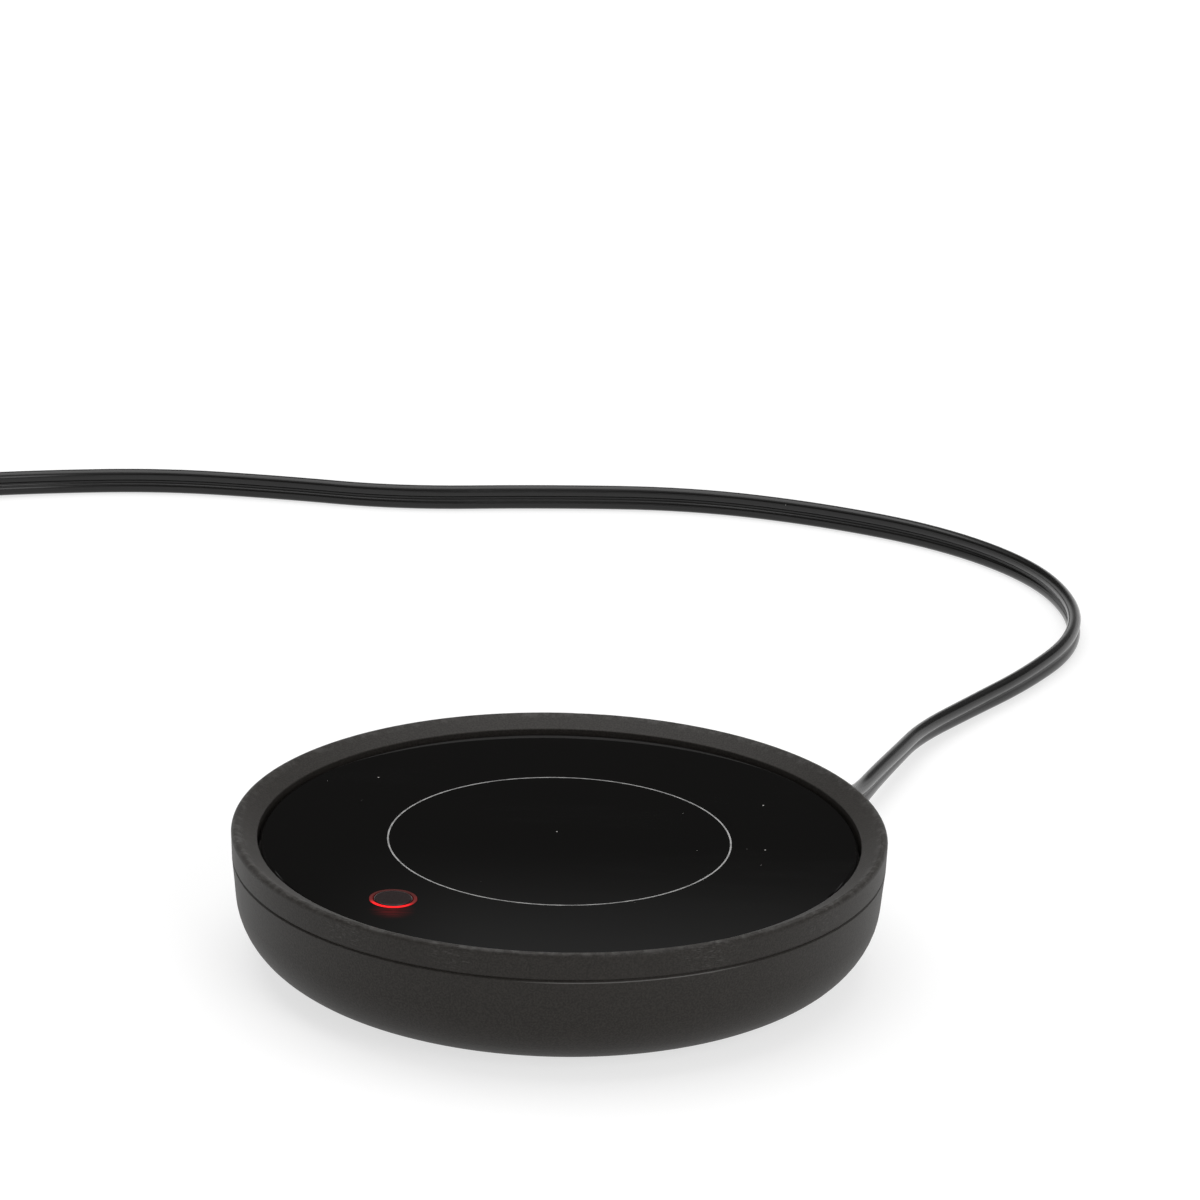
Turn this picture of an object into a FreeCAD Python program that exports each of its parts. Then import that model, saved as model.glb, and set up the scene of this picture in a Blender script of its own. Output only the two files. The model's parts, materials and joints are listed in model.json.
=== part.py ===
import FreeCAD, Part
import math
import os

# Electric mug warmer: a round two-part plastic housing with a flush glass plate,
# a push button with a light ring, the heater and its controls inside, and a mains lead
# whose unseen length is wound up. Millimetres, +Z up, the housing's axis on Z, the table at z = 0.

V = FreeCAD.Vector
TABLE = 0.0

# Housing
seam_radius = 60.0            # outside of the base where the rim meets it
seam_height = 20.1            # height of that seam above the table
total_height = 25.2           # crest of the rim above the table
base_gap = 1.0                # what the feet lift the underside by
corner_radius = 12.8          # big round between the underside and the wall
wall_draft = 5.5              # lean of the wall, degrees
base_wall = 2.0
seam_chamfer = 0.3            # the two small bevels that make the seam line

# Rim
rim_overhang = 0.2            # the rim's crest stands this far outside the seam
rim_round = 0.85
rim_width = 4.8               # from the rim's crest in to the edge of the pocket
rim_lip = 0.7                 # that inner edge above the plate
rim_lip_round = 0.25
plate_drop = 2.6              # the plate below the rim's crest
ledge_thickness = 2.0
ledge_width = 6.4
spigot_depth = 4.0            # how far the rim reaches down inside the base
spigot_wall = 2.0
spigot_clearance = 0.7

# Glass plate and the ring that marks its heated zone
plate_thickness = 3.0
plate_gap = 0.65              # groove between the plate's edge and the rim
plate_bevel = 0.45
zone_inset = 23.95            # from the edge of the pocket in to the ring
zone_width = 0.3
zone_depth = 0.15
gasket_thickness = 0.5
gasket_margin = 0.5

# Push button, light guide and switch
button_azimuth = 225.5
button_inset = 13.4           # from the edge of the pocket in to the button's axis
light_outer_radius = 4.3
light_width = 0.6
button_clearance = 0.2
button_proud = 0.1
button_travel = 0.8
button_flange_radius = 4.7
button_flange_thickness = 1.0
button_stem_radius = 1.6
button_stem_length = 2.2
button_edge_round = 0.25
guide_hole_clearance = 0.1
guide_shoulder = 3.0
guide_skirt_radius = 6.0
guide_skirt_wall = 1.0
switch_side = 6.0
switch_height = 3.5
plunger_radius = 1.75
plunger_spare = 0.2           # room left under the plunger when it is pressed
plunger_clearance = 0.2
switch_floor = 0.8

# Heater stack under the plate, top to bottom
spreader_margin = 0.25
spreader_thickness = 1.5
mica_thickness = 0.4
mica_margin = 0.7
element_thickness = 0.3
element_tracks = 5
element_inner_radius = 11.1
element_track_gap = 1.6
element_slot = 6.0
pin_radius = 0.8
pin_drop = 2.0
pin_shift = 0.2               # pins stand this far off the middle of their tracks
pin_hole_radius = 2.0
pad_thickness = 2.5
tray_sheet = 0.6
tray_clearance = 0.4
tray_wall_height = 4.3
tray_tab_azimuths = (30.0, 150.0, 292.0)
tray_tab_width = 8.0
tray_screw_inset = 9.4        # from the edge of the pocket in to the tray's screws
tray_boss_radius = 2.8

# Thermostat and fuse under the tray
thermostat_cap_radius = 8.2
thermostat_cap_height = 2.5
thermostat_body_radius = 7.5
thermostat_body_height = 5.0
thermostat_azimuth = 150.0
thermostat_tab = (5.0, 4.0, 0.8)
bracket_sheet = 0.5
bracket_width = 19.0
bracket_reach = 13.0
bracket_foot = 5.0
bracket_clearance = 0.2
fuse_radius = 2.0
fuse_length = 12.0
fuse_centre = (10.0, -19.0)
fuse_azimuth = 24.0

# Base screws, posts and feet
post_inset = 15.4             # from the edge of the pocket in to the posts
post_azimuths = (0.0, 90.0, 180.0, 270.0)
post_radius = 3.3
base_boss_radius = 4.5
base_boss_height = 4.0
screw_radius = 1.2
screw_head_radius = 2.4
screw_head_height = 1.8
screw_length = 9.0
screw_clearance = 0.05
screw_hole_slack = 0.4
counterbore_slack = 0.4
screw_cover = 2.4             # plastic between a base screw's head and the top of its boss
foot_radius = 5.5
foot_seat = 0.8
foot_clearance = 0.1
foot_bevel = 0.3
small_screw_radius = 1.0
small_screw_head_radius = 1.9
small_screw_head_height = 1.2
small_screw_grip = 3.4
small_screw_spare = 0.3       # its hole is this much deeper than the screw is long

# Floor ribs of the base
rib_count = 8
rib_thickness = 1.2
rib_height = 1.2
rib_inner_radius = 12.0
rib_post_gap = 6.0            # from a rib's outer end to the posts' circle

# Control board. A place on it is its inset from the outer edge and its distance along the arc.
board_edge_inset = 6.5        # its outer edge inside the seam
board_depth = 17.0
board_half_length = 30.81379  # along its outer edge
board_thickness = 1.6
board_standoff = 3.8
board_post_radius = 2.5
board_screw_places = ((3.5, -24.4346), (2.7, 0.0), (3.5, 24.4346))
led_size = (1.6, 1.0, 0.8)
led_azimuths = (90.0, 270.0)
relay_size = (12.0, 6.5)
relay_headroom = 1.7          # from its top to the plate
relay_place = (8.5, -13.7445)
relay_round = 0.6
capacitor_size = (12.0, 5.0, 7.8)
capacitor_place = (8.9, 14.4007)
capacitor_round = 0.8
chip_size = (4.2, 3.4, 1.4)
chip_legs = 0.5               # how far its legs stand out at each side
chip_leg_share = 0.9          # of its length
chip_leg_height = 0.42
chip_place = (2.4, -5.7971)
resistor_radius = 1.0
resistor_length = 5.6
resistor_places = ((2.7, 7.5363), (2.7, 11.5262), (2.7, 15.516))
terminal_size = (3.4, 3.4, 3.0)
terminal_inset = 14.0
terminal_offsets = (-19.9927, -8.6176, 8.6176, 19.9927)

# Strain relief where the lead leaves the housing
exit_azimuth = 48.0
exit_height = 8.0
relief_width = 9.4
relief_height = 7.4
relief_tip = 6.4
relief_tail_length = 20.0
relief_flange_width = 13.0
relief_flange_height = 10.4
relief_flange_thickness = 2.2
relief_flange_inset = 9.2     # inner face of its flange inside the seam
relief_flange_round = 2.0
relief_round_share = 0.45     # of its height, at its corners
relief_waist_share = 0.35     # of its length, where it has slimmed evenly
relief_clearance = 0.1
relief_block_wall = 1.4
relief_slots = 5
relief_first_slot_share = 0.14
relief_slotted_share = 0.8
relief_slot_sink = 0.6        # of the depth, on the broad sides
relief_slot_width = 1.2
relief_slot_depth = 1.3

# Mains lead: a flat twin lead, 5.5 wide, drawn round here
cord_width = 5.5
cord_floor_gap = 0.05
exit_run = 11.0               # the lead runs straight for this far out of the strain relief

# The coil of the unseen length
coil_outer_radius = 38.0
coil_pitch_gap = 0.5
coil_turns = 5.25
tie_sheet = 0.5
tie_width = 5.0
tie_gap = 0.3
tie_azimuth = 300.0
tie_tail = 9.0

# Two-pin plug
plug_width = 24.0
plug_length = 23.0
plug_boot_length = 26.0
plug_boot_radius = 5.0
plug_boot_tip_radius = 3.05
plug_round = 3.0
plug_grip_grooves = 4
plug_grip_depth = 0.7
plug_grip_width = 1.4
plug_grip_start_share = 0.25
plug_grip_span_share = 0.6
blade_spacing = 12.7
blade_width = 6.35
blade_thickness = 1.5
blade_length = 17.5
blade_root = 7.0
blade_hole_radius = 1.6
blade_hole_from_tip = 4.0

# Inner wiring
wire_radius = 0.9
wire_floor = 5.3
lead_spread = 1.4
core_straight = 8.0           # a core runs straight this far in from the strain relief
core_drop = 19.0              # and is down on the floor this far in
core_settle = 0.2             # and this much above it there
core_clip = 3.0               # a core runs straight this far into its terminal
core_rise = 9.0               # and starts to rise this far from it
tab_straight = 5.0            # a core runs straight this far out of a thermostat tab
fuse_straight = (5.0, 3.0)    # and out of the fuse, towards the board and towards the pin
core_near_board = (7.0, 5.0)  # a heater lead is at its terminal's height this far from it
pin_tail = 2.6                # a core drops this far under its pin
tab_lead_drop = 5.3           # the thermostat's lead to the board hangs this far under the tray
pin_lead_drop = 4.9           # its lead to the pin
fuse_lead_drop = 3.3          # and the fuse's leads
core_lift = 1.5               # a supply lead is this much off the floor where it starts to rise
root = 1.0                    # how far a rib or boss reaches into what carries it

# Sizes that follow from the ones above
pocket_radius = seam_radius + rim_overhang - rim_width
zone_radius = pocket_radius - zone_inset
button_circle = pocket_radius - button_inset
post_circle = pocket_radius - post_inset
tray_screw_circle = pocket_radius - tray_screw_inset
rib_outer_radius = post_circle - rib_post_gap
board_outer_radius = seam_radius - board_edge_inset
board_inner_radius = board_outer_radius - board_depth
terminal_circle = board_outer_radius - terminal_inset
relief_flange_radius = seam_radius - relief_flange_inset
plate_top = total_height - plate_drop
plate_bottom = plate_top - plate_thickness
ledge_top = plate_bottom - gasket_thickness
ledge_bottom = ledge_top - ledge_thickness
ledge_inner_radius = pocket_radius - ledge_width
base_floor = base_gap + base_wall
post_bottom = base_floor + base_boss_height
board_bottom = base_floor + board_standoff
board_top = board_bottom + board_thickness
spreader_bottom = plate_bottom - spreader_thickness
element_top = spreader_bottom - mica_thickness
element_bottom = element_top - element_thickness
pad_top = element_bottom - mica_thickness
tray_floor_top = pad_top - pad_thickness
tray_bottom = tray_floor_top - tray_sheet
spreader_radius = zone_radius - spreader_margin
element_outer_radius = spreader_radius - mica_margin
element_track_width = (element_outer_radius - element_inner_radius
                       - (element_tracks - 1) * element_track_gap) / element_tracks
tray_inner_radius = spreader_radius + tray_clearance
switch_top = board_top + switch_height
shoulder_bottom = plate_bottom - guide_shoulder
plunger_top = shoulder_bottom - button_flange_thickness - button_stem_length
relay_height = plate_bottom - relay_headroom - board_top
light_inner_radius = light_outer_radius - light_width
cap_radius = light_inner_radius - button_clearance
screw_seat = post_bottom - screw_cover
coil_step = cord_width + coil_pitch_gap
coil_low = TABLE + tie_sheet + tie_gap + cord_width / 2
coil_high = coil_low + coil_step
lead_height = TABLE + cord_floor_gap + cord_width / 2

# The lead's route from the strain relief to the coil, after its straight run out of the exit:
# places chosen by hand, first falling to the table and then lying on it
route_after_exit = (
    (63.2, 76.4, 7.1),
    (67.2, 91.6, 5.6),
    (73.4, 108.4, 4.0),
    (84.0, 126.6, lead_height),
    (97.4, 146.2, lead_height),
    (108.4, 166.2, lead_height),
    (110.8, 189.4, lead_height),
    (102.8, 212.4, lead_height),
    (85.0, 233.6, lead_height),
    (59.0, 249.4, lead_height),
    (28.0, 256.6, lead_height),
    (-6.0, 257.4, lead_height),
    (-38.0, 255.4, lead_height),
    (-66.0, 261.2, lead_height),
    (-92.0, 264.6, lead_height),
    (-119.0, 261.4, lead_height),
    (-146.0, 253.0, coil_low),
    (-174.0, 245.6, coil_low),
)


def place(radius, azimuth, height=0.0):
    """A point at a distance and an azimuth from the housing's axis."""
    angle = math.radians(azimuth)
    return V(radius * math.cos(angle), radius * math.sin(angle), height)


def board_azimuth(spot):
    """Azimuth of a place on the control board."""
    inset, along = spot
    return button_azimuth + math.degrees(along / (board_outer_radius - inset))


def board_place(spot, height=0.0):
    return place(board_outer_radius - spot[0], board_azimuth(spot), height)


def outline(corners):
    """Closed outline in the XZ plane from corners (x, z, radius of the round at the corner)."""
    count = len(corners)
    ends = []
    for i, (x, z, radius) in enumerate(corners):
        corner = V(x, 0, z)
        before = V(corners[i - 1][0], 0, corners[i - 1][1]) - corner
        after = V(corners[(i + 1) % count][0], 0, corners[(i + 1) % count][1]) - corner
        if radius <= 0:
            ends.append((corner, corner, corner))
            continue
        before.normalize()
        after.normalize()
        half = math.acos(max(-1.0, min(1.0, before.dot(after)))) / 2
        reach = radius / math.tan(half)
        inward = (before + after).normalize()
        middle = corner + inward * (radius / math.sin(half) - radius)
        ends.append((corner + before * reach, middle, corner + after * reach))
    edges = []
    for i, (start, middle, end) in enumerate(ends):
        if (end - start).Length > 1e-6:
            edges.append(Part.Arc(start, middle, end).toShape())
        follows = ends[(i + 1) % count][0]
        if (follows - end).Length > 1e-6:
            edges.append(Part.LineSegment(end, follows).toShape())
    return Part.Wire(edges)


def turned(corners):
    """Solid of revolution about Z from an outline of radii and heights."""
    return Part.Face(outline(corners)).revolve(V(0, 0, 0), V(0, 0, 1), 360)


def disc(radius, low, high, centre=V(0, 0, 0)):
    """Upright cylinder between two heights."""
    return Part.makeCylinder(radius, high - low, V(centre.x, centre.y, low))


def ring(inner, outer, low, high, centre=V(0, 0, 0)):
    return disc(outer, low, high, centre).cut(disc(inner, low, high, centre))


def block(length, width, low, high, centre, azimuth):
    """Upright block whose length points along an azimuth."""
    box = Part.makeBox(length, width, high - low, V(-length / 2, -width / 2, low))
    box.rotate(V(0, 0, 0), V(0, 0, 1), azimuth)
    box.translate(V(centre.x, centre.y, 0))
    return box


def spoke(inner, outer, width, low, high, azimuth):
    """Upright block from one radius to another."""
    return block(outer - inner, width, low, high, place((inner + outer) / 2, azimuth), azimuth)


def fused(first, others):
    return first.multiFuse(others).removeSplitter()


def group(solids):
    return Part.makeCompound(solids)


def rounded_slab(width, height, thickness, corner):
    """Rounded rectangle of width (Y) by height (Z), running along +X from the origin."""
    corners = [(-width / 2, -height / 2, corner), (width / 2, -height / 2, corner),
               (width / 2, height / 2, corner), (-width / 2, height / 2, corner)]
    face = Part.Face(outline(corners))
    face.rotate(V(0, 0, 0), V(0, 0, 1), 90)
    return face.extrude(V(thickness, 0, 0))


def arc_through(start, control, end):
    """Arc that leaves start and reaches end along the lines to their shared control point."""
    chord_middle = (start + end) * 0.5
    rise = control - chord_middle
    half_chord = (end - start).Length / 2
    turn = math.atan2(rise.Length, half_chord)
    middle = chord_middle + rise.normalize() * (half_chord * math.tan(turn / 2))
    return Part.Arc(start, middle, end).toShape()


def soft_path(points, report=None):
    """Straight runs joined by tangent arcs, each arc as large as its two runs allow."""
    edges = []
    cursor = points[0]
    radii = []
    for i in range(1, len(points) - 1):
        back = points[i - 1] - points[i]
        ahead = points[i + 1] - points[i]
        reach = 0.45 * min(back.Length, ahead.Length)
        turn = math.pi - back.getAngle(ahead)
        radii.append(reach / math.tan(turn / 2))
        start = points[i] + back.normalize() * reach
        end = points[i] + ahead.normalize() * reach
        edges.append(Part.LineSegment(cursor, start).toShape())
        edges.append(arc_through(start, points[i], end))
        cursor = end
    edges.append(Part.LineSegment(cursor, points[-1]).toShape())
    if report:
        print(report, "arc radii:", " ".join("%.1f" % radius for radius in radii))
    return Part.Wire(edges)


def swept(path, radius, report=None):
    """Round tube along a path; its volume is compared with its section times its length."""
    start = path.Edges[0].valueAt(path.Edges[0].FirstParameter)
    heading = path.Edges[0].tangentAt(path.Edges[0].FirstParameter)
    circle = Part.Wire(Part.makeCircle(radius, start, heading))
    tube = path.makePipeShell([circle], True, False)
    if report:
        ideal = math.pi * radius ** 2 * path.Length
        print(report, "length %.1f mm, volume %.1f, section times length %.1f"
              % (path.Length, tube.Volume, ideal))
    return tube


def biarc(start, start_heading, end, end_heading):
    """Two arcs that meet smoothly between two points with given headings."""
    gap = end - start
    headings = start_heading + end_heading
    a = 2 * (start_heading.dot(end_heading) - 1)
    b = -2 * gap.dot(headings)
    c = gap.dot(gap)
    if abs(a) < 1e-9:
        reach = -c / b
    else:
        reach = (-b - math.sqrt(b * b - 4 * a * c)) / (2 * a)
    first = start + start_heading * reach
    second = end - end_heading * reach
    joint = (first + second) * 0.5
    return [arc_through(start, first, joint), arc_through(joint, second, end)]


def screw(radius, head_radius, head_height, length, seat, point_up=True):
    """Pan-head screw at seat, its shank pointing up or down from the underside of its head."""
    way = 1 if point_up else -1
    shank = Part.makeCylinder(radius, length, seat, V(0, 0, way))
    head = Part.makeCylinder(head_radius, head_height, seat, V(0, 0, -way))
    crown = [edge for edge in head.Edges if abs(edge.CenterOfMass.z - seat.z) > head_height * 0.9]
    head = head.makeFillet(min(head_height, head_radius) * 0.35, crown[:1])
    recess = block(head_radius * 1.1, head_radius * 0.3, 0, head_height * 0.45, V(0, 0, 0), 0)
    recess = recess.fuse(block(head_radius * 0.3, head_radius * 1.1, 0, head_height * 0.45, V(0, 0, 0), 0))
    top = seat.z - way * head_height
    recess.translate(V(seat.x, seat.y, top if point_up else top - head_height * 0.45))
    return shank.fuse(head.cut(recess)).removeSplitter()


# Outside and inside of the base, from its driving sizes
draft = math.radians(wall_draft)
corner_centre_height = base_gap + corner_radius
wall_foot_height = corner_centre_height - corner_radius * math.sin(draft)
wall_foot_radius = seam_radius - (seam_height - wall_foot_height) * math.tan(draft)
corner_centre_radius = wall_foot_radius - corner_radius * math.cos(draft)
wall_top_inset = base_wall / math.cos(draft)


def bowl(radius, floor, inset, bevel):
    """Solid inside the base's outer or inner surface: a floor, a round corner and a leaning wall."""
    foot = V(corner_centre_radius + radius * math.cos(draft), 0,
             corner_centre_height - radius * math.sin(draft))
    middle_angle = (math.pi / 2 + draft) / 2
    middle = V(corner_centre_radius + radius * math.sin(middle_angle), 0,
               corner_centre_height - radius * math.cos(middle_angle))
    start = V(corner_centre_radius, 0, floor)
    rim = V(seam_radius - inset, 0, seam_height)
    below_rim = V(rim.x - bevel * math.tan(draft), 0, rim.z - bevel)
    edges = [Part.LineSegment(V(0, 0, floor), start).toShape(),
             Part.Arc(start, middle, foot).toShape(),
             Part.LineSegment(foot, below_rim).toShape()]
    if bevel > 0:
        edges.append(Part.LineSegment(below_rim, V(rim.x - bevel, 0, rim.z)).toShape())
    edges.append(Part.LineSegment(V(rim.x - bevel, 0, rim.z), V(0, 0, rim.z)).toShape())
    edges.append(Part.LineSegment(V(0, 0, rim.z), V(0, 0, floor)).toShape())
    return Part.Face(Part.Wire(edges)).revolve(V(0, 0, 0), V(0, 0, 1), 360)


def relief_along_exit(shape):
    """Move a shape drawn along +X at the origin to the lead's exit line."""
    shape.rotate(V(0, 0, 0), V(0, 0, 1), exit_azimuth)
    shape.translate(V(0, 0, exit_height))
    return shape


def exit_slab(width, height, start, end, corner):
    slab = rounded_slab(width, height, end - start, corner)
    slab.translate(V(start, 0, 0))
    return relief_along_exit(slab)


def base_shell():
    outside = bowl(corner_radius, base_gap, 0, seam_chamfer)
    inside = bowl(corner_radius - base_wall, base_floor, wall_top_inset, 0)
    added = []
    for azimuth in post_azimuths:
        added.append(disc(base_boss_radius, base_gap + foot_seat, post_bottom, place(post_circle, azimuth)))
    for spot in board_screw_places:
        added.append(disc(board_post_radius, base_gap, board_bottom, board_place(spot)))
    for i in range(rib_count):
        azimuth = (i + 0.5) * 360 / rib_count
        added.append(spoke(rib_inner_radius, rib_outer_radius, rib_thickness, base_gap,
                           base_floor + rib_height, azimuth))
    added.append(ring(rib_inner_radius - rib_thickness / 2, rib_inner_radius + rib_thickness / 2,
                      base_gap, base_floor + rib_height))
    # Cradle that holds the flange of the strain relief
    cradle_inner = relief_flange_radius - relief_block_wall
    cradle_width = relief_flange_width + 2 * (relief_clearance + relief_block_wall)
    added.append(spoke(cradle_inner, seam_radius, cradle_width, base_gap,
                       exit_height + relief_height / 2 + relief_block_wall, exit_azimuth))
    shell = outside.cut(inside)
    shell = fused(shell, [piece.common(outside) for piece in added])
    neck_width = relief_width + 2 * relief_clearance
    neck_height = relief_height + 2 * relief_clearance
    neck = exit_slab(neck_width, neck_height, cradle_inner - root, seam_radius + 2 * root,
                     neck_height * relief_round_share)
    flange_slot = spoke(relief_flange_radius - relief_clearance,
                        relief_flange_radius + relief_flange_thickness + relief_clearance,
                        relief_flange_width + 2 * relief_clearance,
                        exit_height - relief_flange_height / 2 - relief_clearance, seam_height,
                        exit_azimuth)
    cuts = [neck, flange_slot]
    for azimuth in post_azimuths:
        centre = place(post_circle, azimuth)
        cuts.append(disc(foot_radius + foot_clearance, base_gap, base_gap + foot_seat, centre))
        cuts.append(disc(screw_head_radius + counterbore_slack, base_gap, screw_seat, centre))
        cuts.append(disc(screw_radius + screw_hole_slack, base_gap, post_bottom, centre))
    for spot in board_screw_places:
        cuts.append(disc(small_screw_radius + screw_clearance, board_bottom - small_screw_grip, board_bottom,
                         board_place(spot)))
    return shell.cut(cuts)


def rim_ring():
    crest = seam_radius + rim_overhang
    inner_edge = plate_top + rim_lip
    run = crest - rim_round - pocket_radius
    rise = total_height - rim_round - inner_edge
    slope = math.atan2(rise, run) + math.asin(rim_round / math.hypot(run, rise))
    corners = [
        (ledge_inner_radius, ledge_bottom, 0),
        (ledge_inner_radius, ledge_top, 0),
        (pocket_radius, ledge_top, 0),
        (pocket_radius, inner_edge, rim_lip_round),
        (crest, inner_edge + (crest - pocket_radius) * math.tan(slope), rim_round),
        (seam_radius, seam_height + seam_chamfer, 0),
        (seam_radius - seam_chamfer, seam_height, 0),
        (seam_radius - wall_top_inset - spigot_clearance, seam_height, 0),
        (seam_radius - wall_top_inset - spigot_clearance, seam_height - spigot_depth, 0),
        (seam_radius - wall_top_inset - spigot_clearance - spigot_wall, seam_height - spigot_depth, 0),
        (seam_radius - wall_top_inset - spigot_clearance - spigot_wall, ledge_bottom, 0),
    ]
    body = turned(corners)
    added = []
    for azimuth in post_azimuths:
        added.append(spoke(post_circle, ledge_inner_radius + root, 2 * post_radius,
                           ledge_bottom, ledge_top, azimuth))
        added.append(disc(post_radius, post_bottom, ledge_top, place(post_circle, azimuth)))
    for azimuth in tray_tab_azimuths:
        added.append(spoke(tray_screw_circle, ledge_inner_radius + root, 2 * tray_boss_radius,
                           ledge_bottom, ledge_top, azimuth))
        added.append(disc(tray_boss_radius, tray_floor_top, ledge_top, place(tray_screw_circle, azimuth)))
    body = fused(body, added)
    cuts = []
    for azimuth in post_azimuths:
        cuts.append(disc(screw_radius + screw_clearance, post_bottom, screw_seat + screw_length + root,
                         place(post_circle, azimuth)))
    for azimuth in tray_tab_azimuths:
        cuts.append(disc(small_screw_radius + screw_clearance, tray_floor_top,
                         tray_bottom + tray_sheet + small_screw_grip, place(tray_screw_circle, azimuth)))
    return body.cut(cuts)


def button_centre():
    return place(button_circle, button_azimuth)


def warming_plate():
    radius = pocket_radius - plate_gap
    plate = turned([
        (0, plate_bottom, 0), (radius, plate_bottom, 0), (radius, plate_top - plate_bevel, 0),
        (radius - plate_bevel, plate_top, 0), (0, plate_top, 0)])
    hole = disc(light_outer_radius + guide_hole_clearance, plate_bottom, plate_top, button_centre())
    return plate.cut([hole, zone_ring()])


def zone_ring():
    return ring(zone_radius - zone_width / 2, zone_radius + zone_width / 2, plate_top - zone_depth, plate_top)


def plate_gasket():
    inner = ledge_inner_radius + gasket_margin
    outer = pocket_radius - plate_gap - gasket_margin
    return ring(inner, outer, ledge_top, plate_bottom)


def light_guide_ring():
    """Clear sleeve round the button: its top edge is the light ring, its foot stands on the lamps."""
    skirt_bottom = board_top + led_size[2]
    skirt_inner = guide_skirt_radius - guide_skirt_wall
    sleeve = turned([
        (light_inner_radius, shoulder_bottom, 0), (skirt_inner, shoulder_bottom, 0),
        (skirt_inner, skirt_bottom, 0), (guide_skirt_radius, skirt_bottom, 0),
        (guide_skirt_radius, plate_bottom, 0), (light_outer_radius, plate_bottom, 0),
        (light_outer_radius, plate_top, 0), (light_inner_radius, plate_top, 0)])
    sleeve.translate(button_centre())
    return sleeve


def button_cap():
    top = plate_top + button_proud
    cap = turned([
        (0, plunger_top, 0), (button_stem_radius, plunger_top, 0),
        (button_stem_radius, shoulder_bottom - button_flange_thickness, 0),
        (button_flange_radius, shoulder_bottom - button_flange_thickness, 0),
        (button_flange_radius, shoulder_bottom, 0), (cap_radius, shoulder_bottom, 0),
        (cap_radius, top, button_edge_round), (0, top, 0)])
    cap.translate(button_centre())
    return cap


def switch_body():
    centre = button_centre()
    case = block(switch_side, switch_side, board_top, switch_top, centre, button_azimuth)
    upright = [edge for edge in case.Edges if abs(edge.tangentAt(edge.FirstParameter).z) > 0.9]
    case = case.makeChamfer(switch_side * 0.08, upright)
    return case.cut(disc(plunger_radius + plunger_clearance, board_top + switch_floor, switch_top, centre))


def switch_plunger():
    low = board_top + switch_floor + button_travel + plunger_spare
    return disc(plunger_radius, low, plunger_top, button_centre())


def heat_spreader():
    return disc(spreader_radius, spreader_bottom, plate_bottom)


def pin_places():
    outer = element_outer_radius - element_track_width / 2
    inner = outer - (element_tracks - 1) * (element_track_width + element_track_gap)
    last_side = 1 if element_tracks % 2 else -1
    angle_outer = math.degrees(element_slot / outer)
    angle_inner = math.degrees(element_slot / inner) * last_side
    return place(outer - pin_shift, -angle_outer), place(inner + pin_shift, -angle_inner)


def mica_upper():
    return disc(spreader_radius - mica_margin / 2, element_top, spreader_bottom)


def mica_lower():
    sheet = disc(spreader_radius - mica_margin / 2, pad_top, element_bottom)
    return sheet.cut([disc(pin_hole_radius, pad_top, element_bottom, pin) for pin in pin_places()])


def heating_element():
    """One resistance track: concentric arcs joined in turn at each side of a slot, with two pins."""
    pieces = []
    pitch = element_track_width + element_track_gap
    for i in range(element_tracks):
        outer = element_outer_radius - i * pitch
        track = ring(outer - element_track_width, outer, element_bottom, element_top)
        slot = spoke(0, element_outer_radius + root, element_slot, element_bottom, element_top, 0)
        pieces.append(track.cut(slot))
    for i in range(element_tracks - 1):
        outer = element_outer_radius - i * pitch
        side = 1 if i % 2 == 0 else -1
        link = block(pitch + element_track_width, element_track_width, element_bottom, element_top,
                     V(outer - (pitch + element_track_width) / 2,
                       side * (element_slot + element_track_width) / 2, 0), 0)
        pieces.append(link.common(disc(outer, element_bottom, element_top)))
    for pin in pin_places():
        pieces.append(disc(pin_radius, tray_bottom - pin_drop, element_top, pin))
    return fused(pieces[0], pieces[1:])


def insulation_pad():
    pad = disc(spreader_radius, tray_floor_top, pad_top)
    return pad.cut([disc(pin_hole_radius, tray_floor_top, pad_top, pin) for pin in pin_places()])


def heater_tray():
    """Pressed steel dish that holds the stack up against the plate, on three tabs."""
    outer = tray_inner_radius + tray_sheet
    top = tray_bottom + tray_wall_height
    dish = turned([
        (0, tray_bottom, 0), (outer, tray_bottom, tray_sheet * 1.6), (outer, top, 0),
        (tray_inner_radius, top, 0), (tray_inner_radius, tray_floor_top, tray_sheet * 0.6),
        (0, tray_floor_top, 0)])
    tabs = []
    for azimuth in tray_tab_azimuths:
        tabs.append(spoke(tray_inner_radius - 2 * tray_sheet, tray_screw_circle, tray_tab_width,
                          tray_bottom, tray_floor_top, azimuth))
        tabs.append(disc(tray_tab_width / 2, tray_bottom, tray_floor_top, place(tray_screw_circle, azimuth)))
    dish = fused(dish, tabs)
    cuts = [disc(small_screw_radius + screw_hole_slack, tray_bottom, tray_floor_top,
                 place(tray_screw_circle, azimuth)) for azimuth in tray_tab_azimuths]
    cuts += [disc(pin_hole_radius, tray_bottom, tray_floor_top, pin) for pin in pin_places()]
    return dish.cut(cuts)


def tray_screws():
    return group([screw(small_screw_radius, small_screw_head_radius, small_screw_head_height,
                        tray_sheet + small_screw_grip - small_screw_spare,
                        place(tray_screw_circle, azimuth, tray_bottom))
                  for azimuth in tray_tab_azimuths])


def thermostat():
    cap_bottom = tray_bottom - thermostat_cap_height
    bottom = cap_bottom - thermostat_body_height
    tab_bottom = bottom + root
    body = disc(thermostat_body_radius, bottom, cap_bottom)
    parts = [disc(thermostat_cap_radius, cap_bottom, tray_bottom)]
    length, width, sheet = thermostat_tab
    for turn in (0, 180):
        parts.append(spoke(thermostat_body_radius - root, thermostat_body_radius + length, width,
                           tab_bottom, tab_bottom + sheet, thermostat_azimuth + turn))
    return fused(body, parts)


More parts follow.
